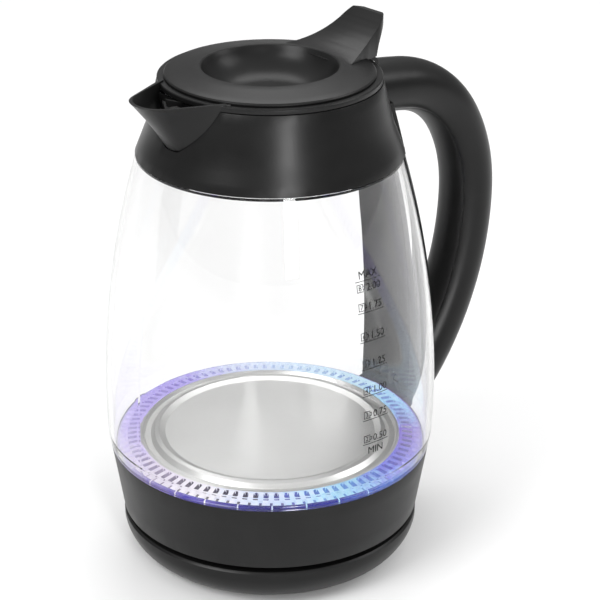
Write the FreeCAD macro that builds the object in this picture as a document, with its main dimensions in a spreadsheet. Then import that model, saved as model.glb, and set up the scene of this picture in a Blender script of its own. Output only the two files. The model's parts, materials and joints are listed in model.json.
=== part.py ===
import FreeCAD, Part
import math
import os
import re

import Sketcher

# Electric glass kettle. Millimetres. The origin is on the jug's axis, at the underside of the power base.
# +Z is up, +X points from the axis to the handle, and the spout points along -X.

DIMENSIONS = {
    # power base
    "foot_inner_r": 44.0, "foot_outer_r": 49.0, "foot_top_z": 2.0,
    "base_heel_r": 54.0, "base_heel_z": 1.0, "base_round_r": 20.0,
    "base_r": 74.6, "base_shoulder_z": 17.5, "base_top_z": 21.8, "base_edge": 1.0,
    "base_wall": 2.2, "base_cover_r": 53.2, "base_cover_top_z": 4.0, "base_post_circle_r": 38.0,
    "base_post_r": 3.4,
    # the connector that the jug turns on
    "connector_r": 17.0, "connector_top_z": 33.0, "connector_flange_r": 22.6, "connector_flange_z": 17.2,
    "connector_foot_z": 7.0, "connector_slot_floor_z": 20.0, "connector_clearance": 0.4,
    "slot_a_inner_r": 6.5, "slot_a_outer_r": 8.7, "slot_b_inner_r": 11.6, "slot_b_outer_r": 13.7,
    "pin_socket_r": 3.4, "contact_strip": 0.5, "contact_top_z": 30.0,
    "guide_ring_outer_r": 20.6, "guide_ring_z": 22.2, "guide_ring_top_z": 31.0,
    # cord outlet at the back of the base
    "gland_z": 10.5, "gland_r": 4.6, "gland_bore_r": 2.9, "gland_inner_x": 62.0, "gland_outer_x": 76.6,
    "gland_flange_r": 6.0, "gland_flange_x": 73.4, "gland_flange_end_x": 75.2,
    "clamp_x": 42.0, "clamp_length": 11.0, "clamp_width": 16.0, "clamp_z": 7.6, "clamp_height": 6.0,
    "lead_r": 1.0, "lead_spacing": 4.0,
    # underside of the jug
    "jug_floor_z": 22.2, "jug_step_r": 70.2, "jug_step_z": 25.1, "jug_floor_rim_r": 72.3,
    "jug_floor_rim_top_z": 27.2, "jug_floor_wall": 2.2, "jug_socket_r": 21.2, "jug_socket_outer_r": 24.9,
    "jug_socket_roof_z": 36.0, "jug_socket_top_z": 40.0, "jug_floor_screw_circle_r": 60.0,
    "jug_pin_r": 2.5, "jug_pin_z": 21.0, "ring_contact_z": 22.6, "ring_contact_wall": 0.7,
    "ring_contact_a_r": 7.7, "ring_contact_b_r": 12.8,
    "controller_r": 22.0, "controller_top_z": 56.8, "bimetal_r": 5.5, "bimetal_x": 12.0,
    "bimetal_thickness": 0.6,
    # lower band
    "band_bottom_r": 74.8, "band_bottom_z": 25.1, "band_top_r": 80.3, "band_top_z": 59.5, "band_wall": 2.4,
    "lug_low_z": 43.0, "lug_high_z": 54.0, "handle_screw_z": 50.0, "handle_screw_y": 8.0,
    "handle_screw_x": 73.0,
    # heating plate and what is under it
    "plate_z": 62.0, "plate_thickness": 0.8, "plate_flat_r": 53.0, "bead_r": 56.2, "bead_rise": 1.2,
    "trough_inner_r": 60.4, "trough_outer_r": 63.2, "trough_drop": 1.2, "plate_lip_r": 64.5,
    "plate_rim_r": 65.4, "plate_rim_z": 57.6, "spreader_r": 50.0, "spreader_thickness": 3.4,
    "element_ring_r": 40.0, "element_r": 3.4, "element_sweep": 300.0, "element_gap": 0.05,
    "element_tail": 10.0,
    # light ring, seals and their support
    "ring_inner_r": 65.6, "ring_outer_r": 77.6, "ring_bottom_z": 59.7, "ring_inner_top_z": 62.4,
    "ring_outer_top_z": 61.8, "support_inner_r": 63.0, "support_outer_r": 77.2, "support_z": 55.4,
    "support_top_z": 57.6, "plate_gasket_r": 66.8, "seal_top_z": 59.5, "board_inner_r": 67.0,
    "board_outer_r": 74.0, "board_thickness": 0.9, "led_circle_r": 70.5, "led_size": 3.5, "led_height": 0.9,
    "glass_seal_inner_r": 74.4, "glass_seal_outer_r": 77.4,
    # glass
    "glass_r": 82.0, "glass_curve_r": 442.0, "glass_widest_z": 86.0, "glass_wall": 2.4,
    "glass_foot_z": 59.6,
    "glass_foot_r": 80.3, "glass_foot_inner_r": 77.8, "glass_low_z": 67.0, "glass_shoulder_z": 210.9,
    "glass_neck_z": 211.1, "glass_neck_r": 60.4, "glass_mouth_z": 223.0, "glass_mouth_r": 56.8,
    # collar and neck ring
    "collar_bottom_z": 211.3, "collar_bottom_r": 64.3, "collar_crease_z": 225.3, "collar_crease_r": 58.8,
    "collar_top_z": 246.3, "collar_top_r": 53.5, "collar_wall": 2.2, "neck_gap": 0.2, "neck_wall": 2.0,
    "neck_inner_r": 47.0, "neck_outer_r": 53.1, "neck_ring_z": 246.7, "neck_ring_top_z": 249.1,
    "neck_skirt_z": 224.6, "collar_gasket_wall": 2.2,
    # spout
    "spout_low_z": 225.0, "spout_mid_z": 238.0, "spout_top_z": 249.8, "spout_low_x": 59.2,
    "spout_mid_x": 68.6,
    "spout_top_x": 79.5, "spout_back_x": 44.0, "spout_w": 25.0, "spout_low_tip_r": 11.0,
    "spout_mid_tip_r": 11.5, "spout_top_tip_r": 14.0, "spout_wall": 2.0, "seam": 0.35,
    "filter_x": 50.6, "filter_frame": 1.4, "filter_top_w": 18.6, "filter_low_w": 13.6,
    "filter_z": 230.5, "filter_top_z": 244.8, "filter_bar": 2.0, "mesh_thickness": 0.4,
    # handle
    "handle_x": 56.0, "handle_z": 229.9, "handle_pitch": 4.0, "handle_half_depth": 13.4,
    "handle_half_width": 14.6, "handle_wall": 2.6, "root_curve_r": 300.0, "root_curve_to": 9.2,
    "bend_r": 57.0, "bend_to": 57.5, "shoulder_r": 78.0, "shoulder_to": 89.0, "back_r": 142.0,
    "back_to": 128.6,
    "tail_curve_r": 60.0, "tail_curve_to": 160.0, "handle_tail": 6.0,
    "cover_low_x": 70.5, "cover_low_z": 71.5, "cover_half_width": 9.0, "cover_depth": 3.6,
    "cover_gap": 0.15,
    "strap_width": 12.0, "strap_thickness": 2.0,
    "spine_inner_gap": 2.8, "spine_outer_gap": 7.4, "spine_angle": 25.4, "spine_low_z": 59.6,
    "spine_high_z": 224.0,
    "tube_r": 1.5, "tube_bore_r": 1.0, "tube_clearance": 0.05, "tube_gap": 5.1, "tube_high_z": 212.0,
    # lid
    "lid_r": 50.0, "lid_gap": 0.6, "lid_edge_z": 249.4, "lid_seam_z": 250.6, "dish_r": 32.9,
    "dish_rim_z": 253.4,
    "dish_wall_r": 31.4, "dish_wall_z": 251.0, "dish_floor_z": 240.2, "dish_floor_r": 13.0,
    "dish_bowl_r": 19.0, "lid_wall": 1.8, "lid_plug_r": 44.0, "lid_plug_z": 235.6, "lid_plug_top_z": 249.3,
    "lid_plug_wall": 1.6, "lid_seal_z": 241.0, "lid_seal_top_z": 244.0, "lid_seal_r": 46.0,
    "lid_screw_circle_r": 38.2, "lid_post_r": 2.6, "lid_post_top_z": 251.7,
    # thumb fin on the lid
    "fin_base_x": 28.0, "fin_base_z": 252.4, "fin_base_w": 24.5, "fin_tip_x": 66.2, "fin_tip_w": 13.4,
    "fin_tip_z": 268.3, "fin_tip_run": 4.4, "fin_face_r": 62.0, "fin_back_z": 266.4, "fin_heel_x": 56.6,
    "fin_heel_z": 253.2, "fin_back_r": 24.0, "fin_root_z": 251.2, "fin_corner_x": 55.5,
    "fin_corner_r": 12.0, "fin_end_w": 2.0, "fin_side_r": 110.0,
    # lid hinge
    "hinge_x": 54.0, "hinge_z": 245.6, "knuckle_r": 3.4, "knuckle_half": 8.0, "hinge_pin_r": 1.5,
    "hinge_pin_half": 12.4, "running_fit": 0.05, "hinge_notch_half": 8.4, "hinge_notch_r": 8.4,
    "hinge_arm_x": 45.4, "ear_r": 3.6, "ear_foot_z": 238.0,
    # switch under the handle
    "switch_x": 69.0, "switch_z": 31.0, "paddle_half": 8.0, "paddle_thickness": 3.6, "paddle_end_x": 98.0,
    "paddle_arm_x": 60.0, "paddle_hub_r": 3.2, "switch_pin_r": 1.2, "switch_pin_half": 11.0,
    "switch_slot_half": 8.5, "switch_slot_z": 27.6, "switch_slot_height": 7.4,
    "cheek_x": 46.0, "cheek_end_x": 71.4, "cheek_y": 9.0, "cheek_thickness": 2.0, "cheek_top_z": 41.0,
    "cheek_foot_end_x": 66.0, "cheek_foot_z": 24.4, "cheek_z": 27.2,
    "trip_x": 50.0, "trip_z": 37.0, "trip_hub_r": 2.6, "trip_end_x": 66.0, "trip_half": 4.0,
    "trip_thickness": 2.4, "steam_disc_x": 67.6, "steam_disc_z": 47.5, "steam_disc_r": 5.5,
    # screws
    "screw_r": 1.5, "screw_head_r": 2.8, "screw_head": 1.8, "screw_length": 8.0,
}

FUNCTIONS = ("sin", "cos", "sqrt")
TOLERANCE = 1e-6

doc = FreeCAD.newDocument("kettle")
sheet = doc.addObject("Spreadsheet::Sheet", "dims")
for row, (alias, size) in enumerate(DIMENSIONS.items(), start=1):
    sheet.set(f"A{row}", alias)
    sheet.set(f"B{row}", str(size))
    sheet.setAlias(f"B{row}", alias)
doc.recompute()


# ---------------------------------------------------------------- expressions
def bound(text):
    """The expression with each dimension's name pointing at the sheet."""
    return re.sub(r"[a-z]\w*", lambda word: word[0] if word[0] in FUNCTIONS else "dims." + word[0],
                  str(text))


def value(text):
    """The number that an expression gives now."""
    result = sheet.evalExpression(bound(text))
    return float(getattr(result, "Value", result))


def bind(obj, **sizes):
    for name, text in sizes.items():
        obj.setExpression(name, bound(text))


def put(obj, x="0", y="0", z="0", turn=None):
    """Places obj at bound coordinates. turn is a FreeCAD.Rotation."""
    obj.Placement = FreeCAD.Placement(FreeCAD.Vector(value(x), value(y), value(z)),
                                      turn or FreeCAD.Rotation())
    for axis, text in zip("xyz", (x, y, z)):
        obj.setExpression(f"Placement.Base.{axis}", bound(text))
    return obj


ALONG = {
    "X": FreeCAD.Rotation(FreeCAD.Vector(0, 1, 0), 90),
    "Y": FreeCAD.Rotation(FreeCAD.Vector(1, 0, 0), -90),
    "Z": FreeCAD.Rotation(),
}


# ---------------------------------------------------------------- primitives and booleans
def cylinder(name, radius, length, x="0", y="0", z="0", along="Z"):
    rod = doc.addObject("Part::Cylinder", name)
    bind(rod, Radius=radius, Height=length)
    return put(rod, x, y, z, ALONG[along])


def box(name, length, width, height, x="0", y="0", z="0"):
    """A block that starts at x, is centred on y and stands on z."""
    block = doc.addObject("Part::Box", name)
    bind(block, Length=length, Width=width, Height=height)
    return put(block, x, f"({y}) - ({width}) / 2", z)


def cut(name, base, *tools):
    for number, tool in enumerate(tools):
        cutting = doc.addObject("Part::Cut", name if number == len(tools) - 1 else f"{name}_cut{number}")
        cutting.Base = base
        cutting.Tool = tool
        base = cutting
    return base


def fuse(name, *shapes):
    joined = doc.addObject("Part::MultiFuse", name)
    joined.Shapes = list(shapes)
    return joined


def common(name, base, tool):
    shared = doc.addObject("Part::Common", name)
    shared.Base = base
    shared.Tool = tool
    return shared


def group(name, *shapes):
    """Separate solids kept in one node."""
    bundle = doc.addObject("Part::Compound", name)
    bundle.Links = list(shapes)
    return bundle


def tube(name, inner, outer, low, high):
    """A straight-walled ring about the jug's axis."""
    return cut(
        name,
        cylinder(name + "_outside", outer, f"({high}) - ({low})", z=low),
        cylinder(name + "_bore", inner, f"({high}) - ({low}) + 2", z=f"({low}) - 1"),
    )


def around(count, radius, start=0.0):
    """Bound x and y of count places evenly spread on a circle, the first at start degrees."""
    angles = [start + 360.0 * number / count for number in range(count)]
    return [(f"({radius}) * cos({angle})", f"({radius}) * sin({angle})") for angle in angles]


def screw(name, x, y, z, up=True, along="Z"):
    """A screw whose head's outer face is at z, with its shank going up or down."""
    if up:
        head = cylinder(name + "_head", "screw_head_r", "screw_head", x, y, z, along)
        shank = cylinder(name + "_shank", "screw_r", "screw_length", x, y, f"({z}) + screw_head", along)
    else:
        head = cylinder(name + "_head", "screw_head_r", "screw_head", x, y, f"({z}) - screw_head", along)
        shank = cylinder(name + "_shank", "screw_r", "screw_length", x, y,
                         f"({z}) - screw_head - screw_length", along)
    return fuse(name, head, shank)


# ---------------------------------------------------------------- sketches and bodies
def origin_plane(body, role):
    return next(feature for feature in body.Origin.OriginFeatures if feature.Role == role)


def arc_between(start, end, radius):
    """The shorter arc from start to end. A positive radius bulges to the right of the way from start to
    end."""
    middle = (start + end) / 2
    along = end - start
    half = along.Length / 2
    rise = math.sqrt(radius * radius - half * half)
    left = FreeCAD.Vector(-along.y, along.x, 0).normalize()
    side = math.copysign(1.0, radius)
    centre = middle + left * rise * side
    top = centre - left * abs(radius) * side
    return Part.Arc(start, top, end)


def draw(sketch, outline):
    """Draws a closed outline of bound points. A third item in a point is the radius of the arc to the next
    point."""
    points = [FreeCAD.Vector(value(point[0]), value(point[1]), 0) for point in outline]
    ends = []
    for number, point in enumerate(outline):
        start, end = points[number], points[(number + 1) % len(points)]
        if len(point) == 2:
            edge = sketch.addGeometry(Part.LineSegment(start, end), False)
            ends.append((edge, 1, 2))
            continue
        sign = -1 if point[2].startswith("-") else 1
        edge = sketch.addGeometry(arc_between(start, end, sign * value(point[2].lstrip("-"))), False)
        starts_first = (sketch.getPoint(edge, 1) - start).Length < TOLERANCE
        ends.append((edge, 1, 2) if starts_first else (edge, 2, 1))
        radius = sketch.addConstraint(Sketcher.Constraint("Radius", edge, value(point[2].lstrip("-"))))
        sketch.setExpression(f"Constraints[{radius}]", bound(point[2].lstrip("-")))
    for number, point in enumerate(outline):
        edge, first, last = ends[number]
        following = ends[(number + 1) % len(ends)]
        sketch.addConstraint(Sketcher.Constraint("Coincident", edge, last, following[0], following[1]))
        for kind, axis, text in (("DistanceX", -2, point[0]), ("DistanceY", -1, point[1])):
            if abs(value(text)) < TOLERANCE:
                sketch.addConstraint(Sketcher.Constraint("PointOnObject", edge, first, axis))
                continue
            place = sketch.addConstraint(Sketcher.Constraint(kind, edge, first, value(text)))
            sketch.setExpression(f"Constraints[{place}]", bound(text))


def sketch_on(body, name, outline, plane="XZ_Plane", offset=None):
    sketch = body.newObject("Sketcher::SketchObject", name)
    sketch.AttachmentSupport = [(origin_plane(body, plane), "")]
    sketch.MapMode = "FlatFace"
    if offset:
        sketch.AttachmentOffset = FreeCAD.Placement(FreeCAD.Vector(0, 0, value(offset)), FreeCAD.Rotation())
        sketch.setExpression("AttachmentOffset.Base.z", bound(offset))
    draw(sketch, outline)
    return sketch


def revolved(name, outline, angle="360"):
    """A body turned about Z from a closed outline of (radius, height) points, centred on +X if it is part
    of a turn."""
    body = doc.addObject("PartDesign::Body", name)
    sketch = sketch_on(body, name + "_outline", outline)
    turn = body.newObject("PartDesign::Revolution", name + "_turn")
    turn.Profile = sketch
    turn.ReferenceAxis = (sketch, ["V_Axis"])
    turn.Midplane = True
    turn.Angle = value(angle)
    bind(turn, Angle=angle)
    sketch.Visibility = False
    return body


def padded(name, outline, length, plane="XZ_Plane", offset=None, both_ways=True):
    """A body raised from a closed outline, both ways from its plane or only along the plane's normal."""
    body = doc.addObject("PartDesign::Body", name)
    sketch = sketch_on(body, name + "_outline", outline, plane, offset)
    pad = body.newObject("PartDesign::Pad", name + "_pad")
    pad.Profile = sketch
    pad.Midplane = both_ways
    bind(pad, Length=length)
    return body


def swept(name, section, spine):
    """A solid of one closed section along a wire."""
    sweep = doc.addObject("Part::Sweep", name)
    sweep.Sections = [section]
    sweep.Spine = (spine, [f"Edge{number}" for number in range(1, len(spine.Shape.Edges) + 1)])
    sweep.Solid = True
    sweep.Frenet = False
    return sweep


# ---------------------------------------------------------------- glass outline
def glass_radius(height, gap="0"):
    """The radius, as an expression, of the glass's outer curve at a height, moved out by gap."""
    return (f"glass_r - glass_curve_r + sqrt((glass_curve_r + ({gap})) * (glass_curve_r + ({gap}))"
            f" - (({height}) - glass_widest_z) * (({height}) - glass_widest_z))")


# ---------------------------------------------------------------- power base
def make_base():
    foot_ring = tube("foot_ring", "foot_inner_r", "foot_outer_r", "0", "foot_top_z")

    shell = revolved("base_cover_shell", [
        ("base_heel_r", "base_heel_z", "base_round_r"),
        ("base_r", "base_shoulder_z"),
        ("base_r", "base_top_z - base_edge"),
        ("base_r - base_edge", "base_top_z"),
        ("connector_r + connector_clearance", "base_top_z"),
        ("connector_r + connector_clearance", "base_top_z - base_wall"),
        ("base_r - base_wall - base_edge", "base_top_z - base_wall"),
        ("base_r - base_wall", "base_shoulder_z", "-(base_round_r - base_wall)"),
        ("base_heel_r + 1", "base_heel_z + base_wall + 1"),
        ("base_cover_r + 0.2", "base_cover_top_z + 0.4"),
        ("base_cover_r + 0.2", "base_heel_z"),
    ])
    posts = [
        cylinder(f"base_post{number}", "base_post_r", "base_top_z - base_wall - base_cover_top_z", x, y,
                 "base_cover_top_z")
        for number, (x, y) in enumerate(around(3, "base_post_circle_r", 60.0))
    ]
    pilots = [
        cylinder(f"base_pilot{number}", "screw_r", "screw_length + 0.5", x, y, "base_cover_top_z - 0.1")
        for number, (x, y) in enumerate(around(3, "base_post_circle_r", 60.0))
    ]
    whole = fuse("base_cover_and_posts", shell, *posts)
    cord_hole = cylinder("base_cord_hole", "gland_r", "30", "gland_inner_x - 8", "0", "gland_z", "X")
    flange_seat = cylinder("base_flange_seat", "gland_flange_r", "10", "gland_flange_x", "0", "gland_z",
                           "X")
    top_cover = cut("base_top_cover", whole, *pilots, cord_hole, flange_seat)

    plate = tube("base_bottom_plate", "4", "base_cover_r", "foot_top_z", "base_cover_top_z")
    holes = [
        cylinder(f"base_screw_hole{number}", "screw_head_r", "base_wall + 1", x, y, "foot_top_z - 0.2")
        for number, (x, y) in enumerate(around(3, "base_post_circle_r", 60.0))
    ]
    bottom_cover = cut("base_bottom_cover", plate, *holes)
    screws = group("base_screws", *[
        screw(f"base_screw{number}", x, y, "base_cover_top_z - screw_head")
        for number, (x, y) in enumerate(around(3, "base_post_circle_r", 60.0))
    ])

    connector = revolved("base_connector", [
        ("0", "connector_foot_z"), ("connector_r - 2", "connector_foot_z"),
        ("connector_r - 2", "connector_flange_z"), ("connector_flange_r", "connector_flange_z"),
        ("connector_flange_r", "base_top_z - base_wall"), ("connector_r", "base_top_z - base_wall"),
        ("connector_r", "connector_top_z"), ("slot_b_outer_r", "connector_top_z"),
        ("slot_b_outer_r", "connector_slot_floor_z"), ("slot_b_inner_r", "connector_slot_floor_z"),
        ("slot_b_inner_r", "connector_top_z"), ("slot_a_outer_r", "connector_top_z"),
        ("slot_a_outer_r", "connector_slot_floor_z"), ("slot_a_inner_r", "connector_slot_floor_z"),
        ("slot_a_inner_r", "connector_top_z"), ("pin_socket_r", "connector_top_z"),
        ("pin_socket_r", "connector_slot_floor_z - 2"), ("0", "connector_slot_floor_z - 2"),
    ])
    contacts = group("base_contact_rings", *[
        tube(f"base_contact{number}", f"{radius} - contact_strip", radius, "connector_slot_floor_z",
             "contact_top_z")
        for number, radius in enumerate(("pin_socket_r", "slot_a_outer_r", "slot_b_outer_r"))
    ])
    guide_ring = tube("guide_ring", "connector_r + connector_clearance", "guide_ring_outer_r",
                      "guide_ring_z",
                      "guide_ring_top_z")

    gland = cut(
        "cord_gland",
        fuse(
            "gland_body",
            cylinder("gland_barrel", "gland_r", "gland_outer_x - gland_inner_x", "gland_inner_x", "0",
                     "gland_z", "X"),
            cylinder("gland_flange", "gland_flange_r", "gland_flange_end_x - gland_flange_x",
                     "gland_flange_x", "0",
                     "gland_z", "X"),
        ),
        cylinder("gland_bore", "gland_bore_r", "gland_outer_x - gland_inner_x + 2", "gland_inner_x - 1",
                 "0",
                 "gland_z", "X"),
    )
    clamp = box("cord_clamp", "clamp_length", "clamp_width", "clamp_height", "clamp_x", "0", "clamp_z")
    leads = group("base_leads", *[
        cylinder(f"base_lead{number}", "lead_r", "clamp_x - connector_r + 2", "connector_r - 2",
                 f"{number - 1} * lead_spacing * 0.8", "gland_z", "X")
        for number in range(3)
    ])
    clamp_post = box("clamp_post", "clamp_length - 3", "clamp_width - 4", "clamp_z - base_cover_top_z",
                     "clamp_x + 1.5", "0", "base_cover_top_z")
    clamp = fuse("base_cord_clamp", clamp, clamp_post)
    return [foot_ring, top_cover, bottom_cover, screws, connector, contacts, guide_ring, gland, clamp,
            leads]


# ---------------------------------------------------------------- underside and lower band of the jug
def make_jug_floor():
    floor = revolved("jug_floor_shell", [
        ("jug_socket_outer_r + 0.2", "jug_floor_z"), ("jug_step_r - 0.6", "jug_floor_z"),
        ("jug_step_r", "jug_floor_z + 0.6"), ("jug_step_r", "jug_step_z"),
        ("jug_floor_rim_r", "jug_step_z"),
        ("jug_floor_rim_r", "jug_floor_rim_top_z"), ("jug_step_r - jug_floor_wall", "jug_floor_rim_top_z"),
        ("jug_step_r - jug_floor_wall", "jug_floor_z + jug_floor_wall"),
        ("jug_socket_outer_r + 2.4", "jug_floor_z + jug_floor_wall"),
        ("jug_socket_outer_r + 2.4", "jug_floor_rim_top_z"),
        ("jug_socket_outer_r + 0.2", "jug_floor_rim_top_z"),
    ])
    places = around(3, "jug_floor_screw_circle_r", 60.0)
    holes = [
        cylinder(f"jug_floor_hole{number}", "screw_head_r", "jug_floor_wall + 1", x, y, "jug_floor_z - 0.5")
        for number, (x, y) in enumerate(places)
    ]
    floor = cut("jug_bottom_cover", floor, *holes)
    screws = group("jug_bottom_screws", *[
        screw(f"jug_floor_screw{number}", x, y, "jug_floor_z + 0.2") for number, (x, y) in enumerate(places)
    ])

    socket = revolved("jug_connector", [
        ("0", "jug_socket_roof_z"), ("jug_socket_r", "jug_socket_roof_z"),
        ("jug_socket_r", "jug_floor_z + 1"),
        ("jug_socket_outer_r", "jug_floor_z + 1"), ("jug_socket_outer_r", "jug_socket_top_z"),
        ("0", "jug_socket_top_z"),
    ])
    pin = cylinder("jug_earth_pin", "jug_pin_r", "jug_socket_roof_z - jug_pin_z", z="jug_pin_z")
    rings = [
        tube(f"jug_ring_contact_{name}", f"{radius} - ring_contact_wall", radius, "ring_contact_z",
             "jug_socket_roof_z")
        for name, radius in (("a", "ring_contact_a_r"), ("b", "ring_contact_b_r"))
    ]
    pins = group("jug_connector_pins", pin, *rings)
    controller = cylinder("controller_body", "controller_r", "controller_top_z - jug_socket_top_z",
                          z="jug_socket_top_z")
    discs = group("bimetal_discs", *[
        cylinder(f"bimetal_disc{number}", "bimetal_r", "bimetal_thickness", f"{side} * bimetal_x", "0",
                 "controller_top_z")
        for number, side in enumerate((-1, 1))
    ])
    return [floor, screws, socket, pins, controller, discs]


def make_lug(name):
    """The block at the back of the band that carries the spine's foot."""
    return revolved(name, [
        ("band_top_r - 3.4", "lug_low_z"), ("band_top_r - 2", "lug_low_z"),
        (glass_radius("lug_high_z", "spine_outer_gap"), "lug_high_z"),
        (glass_radius("band_top_z", "spine_outer_gap"), "band_top_z"), ("band_top_r - 1", "band_top_z"),
    ], "spine_angle")


def handle_screw_places():
    return [("handle_screw_x", f"{side} * handle_screw_y", "handle_screw_z") for side in (-1, 1)]


def make_band():
    shell = revolved("band_shell", [
        ("band_bottom_r - band_wall", "band_bottom_z"), ("band_bottom_r", "band_bottom_z"),
        ("band_top_r", "band_top_z"), ("band_top_r - band_wall", "band_top_z"),
    ])
    slot = box("switch_slot", "16", "2 * switch_slot_half", "switch_slot_height", "switch_x", "0",
               "switch_slot_z")
    screws, holes = [], []
    for number, (x, y, z) in enumerate(handle_screw_places()):
        head = cylinder(f"handle_screw_head{number}", "screw_head_r", "screw_head", x, y, z, "X")
        shank = cylinder(f"handle_screw_shank{number}", "screw_r", "screw_length + 2",
                         f"({x}) + screw_head", y, z, "X")
        screws.append(fuse(f"handle_screw{number}", head, shank))
        holes.append(cylinder(f"handle_screw_hole{number}", "screw_r", "screw_length + 2",
                              f"({x}) + screw_head", y, z,
                              "X"))
        holes.append(cylinder(f"handle_head_hole{number}", "screw_head_r", "screw_head + 4", f"({x}) - 4",
                              y, z, "X"))
    band = cut("band_housing", fuse("band_and_lug", shell, make_lug("band_lug")), slot, *holes)
    return [band, group("handle_screws", *screws)]


# ---------------------------------------------------------------- heating plate, element and light ring
def make_heater():
    under = "plate_z - plate_thickness"
    plate = revolved("heating_plate", [
        ("0", under), ("plate_flat_r + 0.3", under), ("bead_r", f"{under} + bead_rise"),
        ("bead_r + 1.6", f"{under} + bead_rise - 0.4"), ("trough_inner_r - 0.4", f"{under} - trough_drop"),
        ("trough_outer_r + 0.4", f"{under} - trough_drop"), ("plate_lip_r", f"{under}"),
        ("plate_rim_r - plate_thickness", "plate_rim_z"), ("plate_rim_r", "plate_rim_z"),
        ("plate_rim_r", "plate_z"), ("plate_lip_r - 0.2", "plate_z + 0.3"),
        ("trough_outer_r", "plate_z - trough_drop"), ("trough_inner_r", "plate_z - trough_drop"),
        ("bead_r + 2.2", "plate_z + bead_rise - 0.5"), ("bead_r", "plate_z + bead_rise"),
        ("plate_flat_r", "plate_z"),
        ("0", "plate_z"),
    ])
    spreader = cylinder("heat_spreader", "spreader_r", "spreader_thickness",
                        z="plate_z - plate_thickness - spreader_thickness")

    height = "plate_z - plate_thickness - spreader_thickness - element_r - element_gap"
    coil = doc.addObject("Part::Torus", "element_coil")
    bind(coil, Radius1="element_ring_r", Radius2="element_r", Angle3="element_sweep")
    half_gap = (360.0 - value("element_sweep")) / 2
    put(coil, z=height, turn=FreeCAD.Rotation(FreeCAD.Vector(0, 0, 1), half_gap))
    tails = [
        cylinder(f"element_tail{number}", "element_r", "element_tail", f"element_ring_r * cos({angle})",
                 f"element_ring_r * sin({angle})", f"{height} - element_tail")
        for number, angle in enumerate((half_gap, -half_gap))
    ]
    element = fuse("heating_element", coil, *tails)

    support = tube("support_ring", "support_inner_r", "support_outer_r", "support_z", "support_top_z")
    plate_gasket = tube("plate_gasket", "plate_rim_r", "plate_gasket_r", "support_top_z", "seal_top_z")
    glass_seal = tube("glass_seal", "glass_seal_inner_r", "glass_seal_outer_r", "support_top_z",
                      "seal_top_z")
    board = tube("led_board", "board_inner_r", "board_outer_r", "support_top_z",
                 "support_top_z + board_thickness")
    leds = group("leds", *[
        cylinder(f"led{number}", "led_size / 2", "led_height", x, y, "support_top_z + board_thickness")
        for number, (x, y) in enumerate(around(12, "led_circle_r", 15.0))
    ])
    light_ring = revolved("light_ring", [
        ("ring_inner_r", "ring_bottom_z"), ("ring_outer_r", "ring_bottom_z"),
        ("ring_outer_r", "ring_outer_top_z - 0.5"),
        ("ring_outer_r - 0.5", "ring_outer_top_z"), ("ring_inner_r + 0.4", "ring_inner_top_z"),
        ("ring_inner_r", "ring_inner_top_z - 0.4"),
    ])
    return [plate, spreader, element, support, plate_gasket, glass_seal, board, leds, light_ring]


# ---------------------------------------------------------------- glass, collar, neck and spout
def make_glass():
    inner_gap = "-glass_wall"
    return revolved("glass_body", [
        ("glass_foot_inner_r", "glass_foot_z"), ("glass_foot_r", "glass_foot_z"),
        (glass_radius("glass_low_z"), "glass_low_z", "glass_curve_r"),
        (glass_radius("glass_shoulder_z"), "glass_shoulder_z"),
        ("glass_neck_r", "glass_neck_z"), ("glass_mouth_r", "glass_mouth_z"),
        ("glass_mouth_r - glass_wall", "glass_mouth_z"),
        ("glass_neck_r - glass_wall - 0.4", "glass_neck_z"),
        (glass_radius("glass_shoulder_z - 2", inner_gap), "glass_shoulder_z - 2",
         "-(glass_curve_r - glass_wall)"),
        (glass_radius("glass_low_z", inner_gap), "glass_low_z"),
    ])


def collar_points(gap):
    """The collar's outer line, moved in by gap, from its bottom to its top."""
    return [
        (f"collar_bottom_r - ({gap})", "collar_bottom_z"),
        (f"collar_crease_r - ({gap})", "collar_crease_z"),
        (f"collar_top_r - ({gap})", "collar_top_z"),
    ]


def beak(name, grow):
    """The solid form of the spout, wider all round by grow."""
    body = doc.addObject("PartDesign::Body", name)
    sections = []
    levels = (
        ("low", "spout_low_z"), ("mid", "spout_mid_z"), ("top", "spout_top_z"),
    )
    for level, height in levels:
        lift = {"low": f"-({grow}) * 1.4", "mid": "0", "top": "1"}[level]
        tip, wide, nose = f"(spout_{level}_x + ({grow}))", f"(spout_w + ({grow}))", f"spout_{level}_tip_r"
        nose_x = value(f"{tip} - {nose}")
        run = nose_x - value("spout_back_x")
        spread = value(wide)
        lean = math.atan2(spread, run) - math.asin(value(nose) / math.hypot(spread, run))
        shoulder_x = nose_x + value(nose) * math.sin(lean)
        shoulder_y = value(nose) * math.cos(lean)
        sketch = body.newObject("Sketcher::SketchObject", f"{name}_{level}")
        sketch.AttachmentSupport = [(origin_plane(body, "XY_Plane"), "")]
        sketch.MapMode = "FlatFace"
        sketch.AttachmentOffset = FreeCAD.Placement(
            FreeCAD.Vector(0, 0, value(f"{height} + {lift}")), FreeCAD.Rotation())
        sketch.setExpression("AttachmentOffset.Base.z", bound(f"{height} + {lift}"))
        back_x = -value("spout_back_x")
        corners = [
            FreeCAD.Vector(back_x, -spread, 0), FreeCAD.Vector(-shoulder_x, -shoulder_y, 0),
            FreeCAD.Vector(-shoulder_x, shoulder_y, 0), FreeCAD.Vector(back_x, spread, 0),
        ]
        sketch.addGeometry(Part.LineSegment(corners[0], corners[1]), False)
        sketch.addGeometry(Part.Arc(corners[1], FreeCAD.Vector(-value(tip), 0, 0), corners[2]), False)
        sketch.addGeometry(Part.LineSegment(corners[2], corners[3]), False)
        sketch.addGeometry(Part.LineSegment(corners[3], corners[0]), False)
        sections.append(sketch)
    loft = body.newObject("PartDesign::AdditiveLoft", name + "_loft")
    loft.Profile = sections[0]
    loft.Sections = sections[1:]
    return body


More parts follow.
